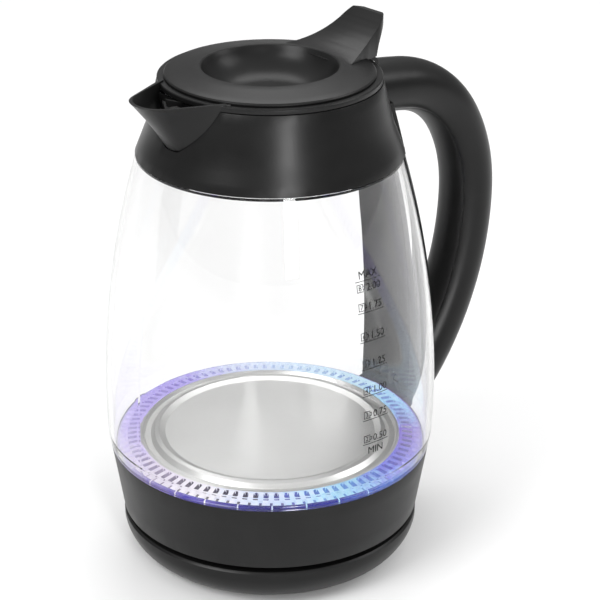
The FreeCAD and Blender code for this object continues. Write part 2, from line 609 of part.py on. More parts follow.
def make_neck():
    collar_outer, collar_inner = collar_points("0"), collar_points("collar_wall")
    collar_shell = revolved("collar_ring", collar_outer + collar_inner[::-1])
    collar_clear = beak("collar_spout_opening", "seam")
    skirt_line = [
        ("collar_crease_r - collar_wall - neck_gap", "neck_skirt_z + 0.7"),
        ("collar_top_r - collar_wall - neck_gap", "collar_top_z + 0.4"),
        ("collar_top_r - collar_wall - neck_gap - neck_wall", "collar_top_z + 0.4"),
        ("collar_crease_r - collar_wall - neck_gap - neck_wall", "neck_skirt_z + 0.7"),
    ]
    skirt = revolved("neck_skirt", skirt_line)
    ring = revolved("neck_top_ring", [
        ("neck_inner_r", "collar_top_z - 0.6"), ("collar_top_r - collar_wall - neck_gap - 0.2",
                                                 "collar_top_z - 0.6"),
        ("collar_top_r - collar_wall - neck_gap - 0.2", "neck_ring_z"), ("neck_outer_r", "neck_ring_z"),
        ("neck_outer_r", "neck_ring_top_z - 0.4"), ("neck_outer_r - 0.4", "neck_ring_top_z"),
        ("neck_inner_r", "neck_ring_top_z"),
    ])
    outside = beak("spout_outside", "0")
    inside = beak("spout_inside", "-spout_wall")
    inside_crease = "collar_crease_r - collar_wall - neck_gap - neck_wall"
    inside_top = "collar_top_r - collar_wall - neck_gap - neck_wall"
    trimmed = cut(
        "spout_solid", outside,
        revolved("neck_clear", [
            ("0", "spout_low_z - 5"), (inside_crease, "spout_low_z - 5"),
            (inside_crease, "collar_crease_z"),
            (inside_top, "collar_top_z"), (inside_top, "neck_ring_top_z"),
            ("lid_r + lid_gap", "neck_ring_top_z"), ("lid_r + lid_gap", "spout_top_z + 5"),
            ("0", "spout_top_z + 5"),
        ]),
        box("spout_level", "60", "80", "10", "-100", "0", "spout_top_z"),
    )
    walls = cut("neck_with_spout_walls", fuse("neck_with_spout_solid", skirt, trimmed), inside)
    ears = [
        fuse(
            f"hinge_ear{number}",
            cylinder(f"ear_eye{number}", "ear_r", "hinge_pin_half - hinge_notch_half", "hinge_x",
                     y, "hinge_z", "Y"),
            box(f"ear_foot{number}", "ear_r + hinge_x - 50.5", "hinge_pin_half - hinge_notch_half",
                "hinge_z - ear_foot_z", "50.5", f"({y}) + (hinge_pin_half - hinge_notch_half) / 2",
                "ear_foot_z"),
        )
        for number, y in enumerate(("hinge_notch_half", "-hinge_pin_half"))
    ]
    notch = hinge_notch("neck_notch")
    pin_hole = cylinder("neck_pin_hole", "hinge_pin_r", "2 * hinge_pin_half + 2", "hinge_x",
                        "-hinge_pin_half - 1",
                        "hinge_z", "Y")
    neck = cut("neck_and_spout", fuse("neck_with_ears", walls, ring, *ears), notch, pin_hole)
    ear_clear = box("ear_clearance", "14", "2 * (hinge_pin_half + 0.2)", "14", "48", "0",
                    "ear_foot_z - 0.2")
    collar = cut("collar_shell", collar_shell, collar_clear, ear_clear)
    pin = cylinder("hinge_pin", "hinge_pin_r", "2 * hinge_pin_half", "hinge_x", "-hinge_pin_half",
                   "hinge_z", "Y")
    gasket = tube("collar_gasket", "glass_mouth_r - collar_gasket_wall", "glass_mouth_r - 0.6",
                  "glass_mouth_z",
                  "neck_skirt_z + 0.4")
    return [collar, neck, pin, gasket, *make_filter()]


def hinge_notch(name):
    """The room that the lid's knuckle turns in."""
    return cylinder(name, "hinge_notch_r", "2 * hinge_notch_half", "hinge_x", "-hinge_notch_half",
                    "hinge_z", "Y")


def trapezoid(bar):
    """The filter's outline across the spout's mouth, drawn in by bar on every side."""
    low, top = f"filter_low_w - ({bar})", f"filter_top_w - ({bar})"
    return [
        (f"-({low})", f"filter_z + ({bar})"), (low, f"filter_z + ({bar})"),
        (top, f"filter_top_z - ({bar})"),
        (f"-({top})", f"filter_top_z - ({bar})"),
    ]


def make_filter():
    plate = padded("filter_plate", trapezoid("-0.6"), "filter_frame", "YZ_Plane", "-filter_x")
    fitted = common("filter_fitted", plate, beak("filter_fit", "-(spout_wall + neck_gap)"))
    window = padded("filter_window", trapezoid("filter_bar"), "filter_frame + 2", "YZ_Plane", "-filter_x")
    mesh = padded("filter_mesh", trapezoid("filter_bar"), "mesh_thickness", "YZ_Plane", "-filter_x")
    return [cut("spout_filter_frame", fitted, window), mesh]


# ---------------------------------------------------------------- handle
def handle_path():
    """The handle's centreline as one wire of tangent arcs in the XZ plane, with a straight tail."""
    stations = (
        ("root_curve_r", "root_curve_to"), ("bend_r", "bend_to"), ("shoulder_r", "shoulder_to"),
        ("back_r", "back_to"), ("tail_curve_r", "tail_curve_to"),
    )
    x, z, pitch = value("handle_x"), value("handle_z"), value("handle_pitch")
    edges = []
    for radius_name, end_name in stations:
        radius, end = value(radius_name), value(end_name)
        centre_x = x - radius * math.sin(math.radians(pitch))
        centre_z = z - radius * math.cos(math.radians(pitch))

        def at(angle):
            return FreeCAD.Vector(centre_x + radius * math.sin(math.radians(angle)), 0,
                                  centre_z + radius * math.cos(math.radians(angle)))

        edges.append(Part.Arc(at(pitch), at((pitch + end) / 2), at(end)).toShape())
        x, z, pitch = at(end).x, at(end).z, end
    tail = value("handle_tail")
    last = FreeCAD.Vector(x + tail * math.cos(math.radians(pitch)), 0,
                          z - tail * math.sin(math.radians(pitch)))
    edges.append(Part.LineSegment(FreeCAD.Vector(x, 0, z), last).toShape())
    spine = doc.addObject("Part::Feature", "handle_centreline")
    spine.Shape = Part.Wire(edges)
    return spine


def square_to_path(drop="0"):
    """The placement of a section's plane at the start of the handle's path, moved towards the jug by
    drop."""
    pitch = value("handle_pitch")
    turn = FreeCAD.Rotation(FreeCAD.Vector(0, 1, 0), 90 + pitch)
    down = FreeCAD.Vector(-math.sin(math.radians(pitch)), 0, -math.cos(math.radians(pitch)))
    start = FreeCAD.Vector(value("handle_x"), 0, value("handle_z"))
    return FreeCAD.Placement(start + down * value(drop), turn)


def oval(name, shrink):
    ring = doc.addObject("Part::Ellipse", name)
    ring.Placement = square_to_path()
    wide_is_major = value("handle_half_width") >= value("handle_half_depth")
    sizes = ("handle_half_width", "handle_half_depth") if wide_is_major else ("handle_half_depth",
                                                                              "handle_half_width")
    bind(ring, MajorRadius=f"{sizes[0]} - ({shrink})", MinorRadius=f"{sizes[1]} - ({shrink})")
    if wide_is_major:
        ring.Placement = ring.Placement * FreeCAD.Placement(
            FreeCAD.Vector(), FreeCAD.Rotation(FreeCAD.Vector(0, 0, 1), 90))
    return ring


def strip(name, half_width, thickness, drop):
    """A flat section for a strip along the handle, its middle drop below the centreline."""
    across, deep = value(half_width), value(thickness) / 2
    corners = [FreeCAD.Vector(sx * deep, sy * across, 0) for sx, sy in ((-1, -1), (1, -1), (1, 1), (-1, 1))]
    section = doc.addObject("Part::Feature", name)
    section.Shape = Part.makePolygon(corners + corners[:1])
    section.Placement = square_to_path(drop)
    return section


def make_handle(collar_core):
    spine_path = handle_path()
    outer = swept("handle_outer", oval("handle_oval", "0"), spine_path)
    core = swept("handle_hollow", oval("handle_hollow_oval", "handle_wall"), spine_path)
    drop = "handle_half_depth - cover_depth / 2 + 2"
    wide_band = swept("cover_opening", strip("cover_opening_section", "cover_half_width + cover_gap",
                                             "cover_depth + 4", drop), spine_path)
    band = swept("cover_band",
                 strip("cover_section", "cover_half_width", "cover_depth + 4 - 2 * cover_gap", drop),
                 spine_path)
    strap = swept("handle_strap_bar", strip("strap_section", "strap_width / 2", "strap_thickness", "0"),
                  spine_path)

    taken = [
        collar_core, make_spine_form("spine_room"), make_lug("lug_room"), hinge_notch("handle_notch"),
        revolved("band_room", [
            ("band_bottom_r - 8", "band_bottom_z - 1"), ("band_bottom_r", "band_bottom_z - 1"),
            ("band_bottom_r", "band_bottom_z"), ("band_top_r", "band_top_z"), ("glass_r + 1", "band_top_z"),
            ("glass_r + 1", "band_top_z + 20"), ("band_bottom_r - 8", "band_top_z + 20"),
        ]),
        box("ear_room", "14", "2 * (hinge_pin_half + 0.1)", "14", "44", "0", "ear_foot_z"),
    ]
    shell = cut("handle_shell", outer, core, wide_band, *taken)
    cover_reach = box("cover_reach", "80", "60", "200", "cover_low_x", "0", "cover_low_z")
    cover_strip = common("cover_strip", common("cover_skin", band, outer), cover_reach)
    cover = cut("handle_inner_cover", cover_strip, core, *taken)
    strap = cut("handle_strap", strap, *taken)
    spine_cut = cut("spine_block", make_spine_form("spine_solid"), outer)
    tube_path = arc_feature("tube_path", "tube_gap", "band_top_z", "tube_high_z")
    bore = swept("tube_channel", circle_at("tube_channel_section", "tube_r + tube_clearance"), tube_path)
    spine = cut("handle_spine", spine_cut, bore)
    steam_tube = cut(
        "steam_tube",
        swept("tube_rod", circle_at("tube_section", "tube_r"), tube_path),
        swept("tube_bore", circle_at("tube_bore_section", "tube_bore_r"), tube_path),
    )
    return [shell, cover, strap, spine, steam_tube]


def arc_feature(name, gap, low, high):
    """A wire that follows the glass, gap outside it, in the XZ plane at the back."""
    def at(height):
        return FreeCAD.Vector(value(glass_radius(height, gap)), 0, value(height))

    path = doc.addObject("Part::Feature", name)
    path.Shape = Part.Wire([Part.Arc(at(low), at(f"(({low}) + ({high})) / 2"), at(high)).toShape()])
    return path


def circle_at(name, radius):
    """A round section at the foot of the steam tube."""
    ring = doc.addObject("Part::Circle", name)
    lean = math.asin(value("(band_top_z - glass_widest_z) / (glass_curve_r + tube_gap)"))
    x = value(glass_radius("band_top_z", "tube_gap"))
    ring.Placement = FreeCAD.Placement(
        FreeCAD.Vector(x, 0, value("band_top_z")),
        FreeCAD.Rotation(FreeCAD.Vector(0, 1, 0), -math.degrees(lean)))
    bind(ring, Radius=radius)
    return ring


def make_spine_form(name):
    """The strip that runs down the back of the glass, a little way off it."""
    inner, outer = "spine_inner_gap", "spine_outer_gap"
    return revolved(name, [
        (glass_radius("spine_low_z", inner), "spine_low_z"),
        (glass_radius("spine_low_z", outer), "spine_low_z", "glass_curve_r + spine_outer_gap"),
        (glass_radius("spine_high_z", outer), "spine_high_z"),
        (glass_radius("spine_high_z", inner), "spine_high_z", "-(glass_curve_r + spine_inner_gap)"),
    ], "spine_angle")


# ---------------------------------------------------------------- lid
def make_lid():
    under = "lid_wall"
    disc = revolved("lid_disc", [
        ("0", "dish_floor_z"), ("dish_floor_r", "dish_floor_z", "dish_bowl_r"),
        ("dish_wall_r", "dish_wall_z"),
        ("dish_r - 0.5", "dish_rim_z - 0.4"), ("dish_r + 0.2", "dish_rim_z"),
        ("lid_r - 0.6", "lid_seam_z + 0.1"),
        ("lid_r", "lid_seam_z - 0.5"), ("lid_r", "lid_edge_z"), ("lid_r - 4", "lid_edge_z"),
        ("dish_r + 2", f"dish_rim_z - {under}"),
        (f"dish_wall_r + {under}", f"dish_wall_z - {under} / 2", f"-(dish_bowl_r + {under})"),
        ("dish_floor_r", f"dish_floor_z - {under}"), ("0", f"dish_floor_z - {under}"),
    ])
    places = around(3, "lid_screw_circle_r", 60.0)
    posts = [
        cylinder(f"lid_post{number}", "lid_post_r", "lid_post_top_z - lid_plug_z - screw_head", x, y,
                 "lid_plug_z + screw_head")
        for number, (x, y) in enumerate(places)
    ]
    pilots = [
        cylinder(f"lid_pilot{number}", "screw_r", "screw_length", x, y, "lid_plug_z + screw_head")
        for number, (x, y) in enumerate(places)
    ]
    arm = padded("hinge_arm", [
        ("hinge_arm_x", "lid_edge_z"), ("lid_r", "lid_edge_z"), ("hinge_x - 2.6", "hinge_z - 2.2"),
        ("hinge_x + 2.6", "hinge_z - 2.2"), ("fin_heel_x", "fin_heel_z + 1"), ("hinge_arm_x", "fin_root_z"),
    ], "2 * knuckle_half")
    knuckle = cylinder("hinge_knuckle", "knuckle_r", "2 * knuckle_half", "hinge_x", "-knuckle_half",
                       "hinge_z", "Y")
    bore = cylinder("hinge_bore", "hinge_pin_r + running_fit", "2 * knuckle_half + 2", "hinge_x",
                    "-knuckle_half - 1", "hinge_z", "Y")
    dish_room = cylinder("dish_room", "dish_r", "20", z="dish_wall_z")
    fin = cut("thumb_fin", make_fin(), dish_room)
    cover = cut("lid_cover", fuse("lid_solid", disc, fin, arm, knuckle, *posts), bore, *pilots)

    plate = revolved("lid_plug", [
        ("0", "lid_plug_z"), ("lid_plug_r", "lid_plug_z"), ("lid_plug_r", "lid_plug_top_z"),
        ("lid_plug_r - lid_plug_wall", "lid_plug_top_z"),
        ("lid_plug_r - lid_plug_wall", "lid_plug_z + lid_plug_wall"),
        ("0", "lid_plug_z + lid_plug_wall"),
    ])
    holes = [
        cylinder(f"lid_screw_hole{number}", "screw_head_r", "lid_plug_wall + 1", x, y, "lid_plug_z - 0.5")
        for number, (x, y) in enumerate(places)
    ]
    under_plate = cut("lid_under_plate", plate, *holes)
    seal = tube("lid_seal", "lid_plug_r", "lid_seal_r", "lid_seal_z", "lid_seal_top_z")
    screws = group("lid_screws", *[
        screw(f"lid_screw{number}", x, y, "lid_plug_z") for number, (x, y) in enumerate(places)
    ])
    return [cover, under_plate, seal, screws]


def make_fin():
    """The thumb fin: its side view and its plan, each raised, and what they share."""
    side = padded("fin_side", [
        ("fin_base_x", "fin_root_z"), ("fin_heel_x - 7", "lid_edge_z"), ("fin_heel_x - 1", "lid_edge_z"),
        ("fin_heel_x", "fin_heel_z", "-fin_back_r"), ("fin_tip_x", "fin_back_z"),
        ("fin_tip_x - 1.2", "fin_tip_z - 0.4"), ("fin_tip_x - fin_tip_run", "fin_tip_z - 0.2",
                                                 "-fin_face_r"),
        ("fin_base_x", "fin_base_z"),
    ], "4 * fin_base_w")
    plan = padded("fin_plan", [
        ("fin_base_x", "-fin_base_w", "-fin_side_r"), ("fin_corner_x", "-fin_tip_w", "fin_corner_r"),
        ("fin_tip_x", "-fin_end_w"), ("fin_tip_x", "fin_end_w", "fin_corner_r"),
        ("fin_corner_x", "fin_tip_w", "-fin_side_r"), ("fin_base_x", "fin_base_w"),
    ], "60", "XY_Plane", "lid_edge_z", False)
    return common("fin_raw", side, plan)


# ---------------------------------------------------------------- switch
def make_switch():
    hub = cylinder("paddle_hub", "paddle_hub_r", "2 * paddle_half", "switch_x", "-paddle_half", "switch_z",
                   "Y")
    blade = padded("paddle_blade", [
        ("paddle_arm_x", "-(paddle_half - 3)"), ("switch_x", "-paddle_half"),
        ("paddle_end_x - paddle_half", "-paddle_half", "paddle_half + 1"),
        ("paddle_end_x - paddle_half", "paddle_half"), ("switch_x", "paddle_half"),
        ("paddle_arm_x", "paddle_half - 3"),
    ], "paddle_thickness", "XY_Plane", "switch_z")
    bore = cylinder("paddle_bore", "switch_pin_r + running_fit", "2 * paddle_half + 2", "switch_x",
                    "-paddle_half - 1", "switch_z", "Y")
    paddle = cut("switch_paddle", fuse("paddle_solid", hub, blade), bore)
    trip_hub = cylinder("trip_hub", "trip_hub_r", "2 * paddle_half", "trip_x", "-paddle_half", "trip_z",
                        "Y")
    trip_arm = box("trip_arm", "trip_end_x - trip_x", "2 * trip_half", "trip_thickness", "trip_x", "0",
                   "trip_z - trip_thickness / 2")
    trip_bore = cylinder("trip_bore", "switch_pin_r + running_fit", "2 * paddle_half + 2", "trip_x",
                         "-paddle_half - 1", "trip_z", "Y")
    trip = cut("trip_lever", fuse("trip_solid", trip_hub, trip_arm), trip_bore)

    cheeks = [
        box(f"switch_cheek{number}", "cheek_end_x - cheek_x", "cheek_thickness", "cheek_top_z - cheek_z",
            "cheek_x",
            f"{side} * (cheek_y + cheek_thickness / 2)", "cheek_z")
        for number, side in enumerate((-1, 1))
    ]
    foot = box("switch_frame_foot", "cheek_foot_end_x - cheek_x", "2 * (cheek_y + cheek_thickness)",
               "cheek_z - cheek_foot_z", "cheek_x", "0", "cheek_foot_z")
    back = box("steam_disc_holder", "2", "2 * (cheek_y + cheek_thickness)",
               "steam_disc_z + steam_disc_r - cheek_top_z",
               "steam_disc_x + bimetal_thickness", "0", "cheek_top_z")
    pin_places = (("switch_x", "switch_z"), ("trip_x", "trip_z"))
    pins = [
        cylinder(f"switch_pivot{number}", "switch_pin_r", "2 * switch_pin_half", x, "-switch_pin_half", z,
                 "Y")
        for number, (x, z) in enumerate(pin_places)
    ]
    pin_holes = [
        cylinder(f"switch_pivot_hole{number}", "switch_pin_r", "2 * switch_pin_half + 2", x,
                 "-switch_pin_half - 1", z, "Y")
        for number, (x, z) in enumerate(pin_places)
    ]
    frame = cut("switch_frame", fuse("switch_frame_solid", foot, back, *cheeks), *pin_holes)
    steam_disc = cylinder("steam_bimetal", "steam_disc_r", "bimetal_thickness", "steam_disc_x", "0",
                          "steam_disc_z",
                          "X")
    return [paddle, trip, frame, group("switch_pins", *pins), steam_disc]


def check_and_write(nodes):
    doc.recompute()
    failed = [obj.Name for obj in doc.Objects if {"Invalid", "Error"} & set(obj.State)]
    if failed:
        raise RuntimeError(f"failed objects: {failed}")
    os.makedirs("parts", exist_ok=True)
    for node in nodes:
        shape = node.Shape
        if shape.isNull() or not shape.isValid() or not shape.Solids:
            raise RuntimeError(f"{node.Label} has no valid solid")
        shape.exportStep(f"parts/{node.Label}.step")
        print(f"{node.Label}: {len(shape.Solids)} solid(s), {shape.Volume / 1000:.2f} cm3")


collar_core = revolved("collar_core", [("0", "collar_bottom_z - 10")] + collar_points("-0.05")
                       + [("0", "collar_top_z + 8")])
doc.recompute()
check_and_write([
    *make_base(), *make_jug_floor(), *make_band(), *make_heater(), make_glass(), *make_neck(),
    *make_handle(collar_core), *make_lid(), *make_switch(),
])
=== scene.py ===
import json
import math

import bmesh
import bpy
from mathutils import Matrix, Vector


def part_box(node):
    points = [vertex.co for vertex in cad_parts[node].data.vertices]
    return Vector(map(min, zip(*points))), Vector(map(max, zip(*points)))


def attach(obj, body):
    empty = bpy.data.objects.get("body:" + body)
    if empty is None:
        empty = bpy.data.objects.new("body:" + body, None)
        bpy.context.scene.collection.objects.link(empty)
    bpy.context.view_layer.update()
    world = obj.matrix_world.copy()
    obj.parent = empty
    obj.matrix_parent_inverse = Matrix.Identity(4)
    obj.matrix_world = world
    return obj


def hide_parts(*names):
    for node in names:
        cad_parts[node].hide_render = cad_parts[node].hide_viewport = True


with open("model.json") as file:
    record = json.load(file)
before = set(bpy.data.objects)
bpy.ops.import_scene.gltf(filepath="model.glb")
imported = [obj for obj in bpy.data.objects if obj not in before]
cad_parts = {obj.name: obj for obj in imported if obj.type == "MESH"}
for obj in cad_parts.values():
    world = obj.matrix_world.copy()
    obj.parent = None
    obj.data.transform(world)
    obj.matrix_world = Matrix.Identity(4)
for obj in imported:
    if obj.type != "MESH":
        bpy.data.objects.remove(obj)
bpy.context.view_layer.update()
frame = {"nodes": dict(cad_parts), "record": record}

NODES = frame["nodes"]
MM = 0.001
SCENE = bpy.context.scene


# ---------------------------------------------------------------- material building
NOISE_LOW, NOISE_HIGH = 0.3, 0.7    # nearly all of a noise texture's values lie between these


def new_material(name):
    material = bpy.data.materials.new(name)
    material.use_nodes = True
    tree = material.node_tree
    tree.nodes.clear()
    return material, tree


def add(tree, kind, **settings):
    """A node of that kind. Settings that name an input set it, and the others are the node's own."""
    node = tree.nodes.new(kind)
    for key, setting in settings.items():
        if key.startswith("in_"):
            node.inputs[key[3:].replace("_", " ")].default_value = setting
        else:
            setattr(node, key, setting)
    return node


def link(tree, source, out, target, into):
    tree.links.new(source.outputs[out], target.inputs[into])


def ramp(tree, stops):
    """A colour ramp with those (place, colour) stops."""
    node = tree.nodes.new("ShaderNodeValToRGB")
    elements = node.color_ramp.elements
    while len(elements) < len(stops):
        elements.new(0.5)
    for element, (place, colour) in zip(elements, stops):
        element.position = place
        element.color = (*colour, 1.0)
    return node


def grey(level):
    return (level, level, level)


def from_noise(tree, least, most):
    """Spreads a noise's usual values over that range."""
    return add(tree, "ShaderNodeMapRange", in_From_Min=NOISE_LOW, in_From_Max=NOISE_HIGH,
               in_To_Min=least, in_To_Max=most)


def surface(name, dark, light, rough, patch=40.0, grain=900.0, bump=0.04, **sockets):
    """A moulded or rolled surface. Its colour and roughness drift in patches, and a fine grain moves
    its normal."""
    material, tree = new_material(name)
    out = add(tree, "ShaderNodeOutputMaterial")
    shader = add(tree, "ShaderNodeBsdfPrincipled")
    for key, setting in sockets.items():
        shader.inputs[key.replace("_", " ")].default_value = setting
    place = add(tree, "ShaderNodeTexCoord")
    patches = add(tree, "ShaderNodeTexNoise", in_Scale=patch, in_Detail=4.0, in_Roughness=0.55)
    colours = ramp(tree, [(NOISE_LOW, dark), (NOISE_HIGH, light)])
    roughs = from_noise(tree, *rough)
    grains = add(tree, "ShaderNodeTexNoise", in_Scale=grain, in_Detail=2.0)
    lifted = add(tree, "ShaderNodeBump", in_Strength=bump, in_Distance=0.0004)
    link(tree, place, "Object", patches, "Vector")
    link(tree, place, "Object", grains, "Vector")
    link(tree, patches, "Fac", colours, "Fac")
    link(tree, patches, "Fac", roughs, "Value")
    link(tree, colours, "Color", shader, "Base Color")
    link(tree, roughs, "Result", shader, "Roughness")
    link(tree, grains, "Fac", lifted, "Height")
    link(tree, lifted, "Normal", shader, "Normal")
    link(tree, shader, "BSDF", out, "Surface")
    return material


def turned_steel(name):
    """Steel turned on a lathe: fine rings round the axis in its roughness and its normal."""
    material, tree = new_material(name)
    out = add(tree, "ShaderNodeOutputMaterial")
    shader = add(tree, "ShaderNodeBsdfPrincipled", in_Metallic=1.0)
    place = add(tree, "ShaderNodeTexCoord")
    apart = add(tree, "ShaderNodeSeparateXYZ")
    flat = add(tree, "ShaderNodeCombineXYZ")
    reach = add(tree, "ShaderNodeVectorMath", operation="LENGTH")
    rings = add(tree, "ShaderNodeTexNoise", noise_dimensions="1D", in_Scale=1500.0, in_Detail=3.0)
    patches = add(tree, "ShaderNodeTexNoise", in_Scale=18.0, in_Detail=3.0)
    tint = ramp(tree, [(NOISE_LOW, (0.77, 0.77, 0.76)), (NOISE_HIGH, (0.83, 0.83, 0.82))])
    roughs = from_noise(tree, 0.36, 0.48)
    lifted = add(tree, "ShaderNodeBump", in_Strength=0.05, in_Distance=0.0003)
    link(tree, place, "Object", apart, "Vector")
    link(tree, apart, "X", flat, "X")
    link(tree, apart, "Y", flat, "Y")
    link(tree, flat, "Vector", reach, 0)
    link(tree, reach, "Value", rings, "W")
    link(tree, place, "Object", patches, "Vector")
    link(tree, patches, "Fac", tint, "Fac")
    link(tree, rings, "Fac", roughs, "Value")
    link(tree, rings, "Fac", lifted, "Height")
    link(tree, tint, "Color", shader, "Base Color")
    link(tree, roughs, "Result", shader, "Roughness")
    link(tree, lifted, "Normal", shader, "Normal")
    link(tree, shader, "BSDF", out, "Surface")
    return material


def glass_with_painted_edge_shade(name):
    """Clear glass whose colour is greyed where it is seen edge on, as painted shade, with the faintest
    waviness of a blown wall.
    """
    material, tree = new_material(name)
    out = add(tree, "ShaderNodeOutputMaterial")
    shader = add(tree, "ShaderNodeBsdfPrincipled", in_Roughness=0.0, in_IOR=1.45)
    shader.inputs["Transmission Weight"].default_value = 1.0
    facing = add(tree, "ShaderNodeLayerWeight", in_Blend=0.5)
    # painted shade: the glass's colour turns grey towards the edges it shows edge on
    tint = ramp(tree, [(0.0, grey(0.972)), (0.72, grey(0.965)), (0.90, grey(0.80)), (1.0, grey(0.60))])
    link(tree, facing, "Facing", tint, "Fac")
    link(tree, tint, "Color", shader, "Base Color")
    place = add(tree, "ShaderNodeTexCoord")
    waves = add(tree, "ShaderNodeTexNoise", in_Scale=14.0, in_Detail=1.0)
    lifted = add(tree, "ShaderNodeBump", in_Strength=0.02, in_Distance=0.002)
    link(tree, place, "Object", waves, "Vector")
    link(tree, waves, "Fac", lifted, "Height")
    link(tree, lifted, "Normal", shader, "Normal")
    link(tree, shader, "BSDF", out, "Surface")
    return material


def round_the_axis(tree, wander):
    """Where a point lies round the axis, from 0 at the spout through the scale's side to 1, shifted a
    little by noise."""
    place = add(tree, "ShaderNodeTexCoord")
    apart = add(tree, "ShaderNodeSeparateXYZ")
    turn = add(tree, "ShaderNodeMath", operation="ARCTAN2")
    share = add(tree, "ShaderNodeMapRange", in_From_Min=-math.pi, in_From_Max=math.pi)
    noise = add(tree, "ShaderNodeTexNoise", in_Scale=260.0, in_Detail=2.0)
    shift = from_noise(tree, -wander, wander)
    total = add(tree, "ShaderNodeMath", operation="ADD")
    link(tree, place, "Object", apart, "Vector")
    link(tree, place, "Object", noise, "Vector")
    link(tree, apart, "Y", turn, 0)
    link(tree, apart, "X", turn, 1)
    link(tree, turn, "Value", share, "Value")
    link(tree, noise, "Fac", shift, "Value")
    link(tree, share, "Result", total, 0)
    link(tree, shift, "Result", total, 1)
    return total


UNLIT = (0.16, 0.16, 0.18, 1.0)     # how much of the glow's colour the plastic itself has


def lit_plastic(name, stops, strength, wander=0.02):
    """Clear plastic lit from below. The colour of its glow changes round the axis."""
    material, tree = new_material(name)
    out = add(tree, "ShaderNodeOutputMaterial")
    shader = add(tree, "ShaderNodeBsdfPrincipled", in_Roughness=0.16, in_IOR=1.49)
    shader.inputs["Emission Strength"].default_value = strength
    glow = ramp(tree, stops)
    dimmed = add(tree, "ShaderNodeMixRGB", blend_type="MULTIPLY", in_Fac=1.0, in_Color2=UNLIT)
    link(tree, round_the_axis(tree, wander), "Value", glow, "Fac")
    link(tree, glow, "Color", shader, "Emission Color")
    link(tree, glow, "Color", dimmed, "Color1")
    link(tree, dimmed, "Color", shader, "Base Color")
    link(tree, shader, "BSDF", out, "Surface")
    return material


# Each table gives the glow's colour at places round the axis, as round_the_axis counts them.
RING_GLOW = [
    (0.00, (0.82, 0.74, 0.90)), (0.07, (0.92, 0.88, 0.96)), (0.14, (0.62, 0.74, 1.0)),
    (0.22, (0.40, 0.76, 1.0)), (0.29, (0.18, 0.20, 0.84)), (0.38, (0.18, 0.09, 0.62)),
    (0.46, (0.34, 0.66, 0.98)), (0.52, (0.62, 0.86, 1.0)), (0.68, (0.74, 0.80, 1.0)),
    (0.76, (0.46, 0.38, 0.92)), (0.89, (0.56, 0.46, 0.94)), (1.00, (0.82, 0.74, 0.90)),
]
# The cuts between the ribs glow darker than the ribs: painted shade in the cuts, darkest at the front left
# and palest at the back.
GAP_GLOW_WITH_PAINTED_SHADE = [
    (0.00, (0.42, 0.35, 0.52)), (0.05, (0.10, 0.08, 0.14)), (0.11, (0.03, 0.02, 0.08)),
    (0.16, (0.07, 0.09, 0.55)), (0.22, (0.14, 0.40, 0.90)), (0.30, (0.05, 0.04, 0.60)),
    (0.38, (0.06, 0.02, 0.34)), (0.47, (0.20, 0.36, 0.85)), (0.60, (0.54, 0.74, 1.00)),
    (0.68, (0.58, 0.64, 0.96)), (0.76, (0.34, 0.26, 0.80)), (0.89, (0.44, 0.36, 0.84)),
    (1.00, (0.42, 0.35, 0.52)),
]
EDGE_GLOW = [
    (0.00, (0.34, 0.26, 0.70)), (0.06, (0.06, 0.03, 0.60)), (0.14, (0.002, 0.001, 0.22)),
    (0.20, (0.004, 0.01, 0.42)), (0.28, (0.05, 0.20, 0.90)), (0.36, (0.06, 0.03, 0.62)),
    (0.48, (0.30, 0.26, 0.80)), (0.60, (0.50, 0.66, 0.92)), (0.75, (0.40, 0.34, 0.86)),
    (0.89, (0.56, 0.50, 0.90)), (1.00, (0.34, 0.26, 0.70)),
]
FINISH = {
    "black_plastic": surface("black_plastic", grey(0.0055), grey(0.0075), (0.30, 0.36),
                             Specular_IOR_Level=0.22),
    "dark_plastic": surface("dark_plastic", grey(0.008), grey(0.011), (0.34, 0.42), Specular_IOR_Level=0.20),
    "white_plastic": surface("white_plastic", grey(0.62), grey(0.70), (0.38, 0.48)),
    "clear_plastic": lit_plastic("clear_plastic", RING_GLOW, 0.78),
    "jug_glass": glass_with_painted_edge_shade("jug_glass"),
    "plate_steel": turned_steel("plate_steel"),
    "screw_steel": surface("screw_steel", grey(0.50), grey(0.60), (0.22, 0.32), Metallic=1.0),
    "spreader_aluminium": surface("spreader_aluminium", grey(0.66), grey(0.74), (0.3, 0.4), Metallic=1.0),
    "contact_brass": surface("contact_brass", (0.62, 0.42, 0.16), (0.72, 0.52, 0.22), (0.25, 0.35),
                             Metallic=1.0),
    "soft_rubber": surface("soft_rubber", grey(0.020), grey(0.034), (0.62, 0.75), bump=0.12),
}
RING_GAPS_PAINTED_SHADE = lit_plastic("ring_gaps_painted_shade", GAP_GLOW_WITH_PAINTED_SHADE, 0.6)
RING_EDGE = lit_plastic("ring_edge", EDGE_GLOW, 0.6)
INK = surface("scale_ink", grey(0.004), grey(0.008), (0.50, 0.60), Specular_IOR_Level=0.15)
SLOT_OF = {part["node"]: part["material_slot"] for part in frame["record"]["subparts"]}


def paint(piece, material):
    piece.data.materials.clear()
    piece.data.materials.append(material)


def paint_nodes():
    for name, node in NODES.items():
        paint(node, FINISH[SLOT_OF[name]])


# ---------------------------------------------------------------- edges of the moulded parts
EDGE_LIMIT = math.radians(34.0)
WELD_REACH = 0.001 * MM
EDGE_WIDTHS = {
    "lid_cover": 0.45, "neck_and_spout": 0.45, "collar_shell": 0.5, "band_housing": 0.6,
    "base_top_cover": 0.5, "handle_shell": 0.4, "handle_inner_cover": 0.3, "handle_spine": 0.5,
    "switch_paddle": 0.5,
}


def round_edges():
    """Gives the moulded parts the small radii that their moulds leave."""
    for name, width in EDGE_WIDTHS.items():
        weld = NODES[name].modifiers.new("weld", "WELD")
        weld.merge_threshold = WELD_REACH
        bevel = NODES[name].modifiers.new("bevel", "BEVEL")
        bevel.width = width * MM
        bevel.segments = 3
        bevel.limit_method = "ANGLE"
        bevel.angle_limit = EDGE_LIMIT
        bevel.harden_normals = True


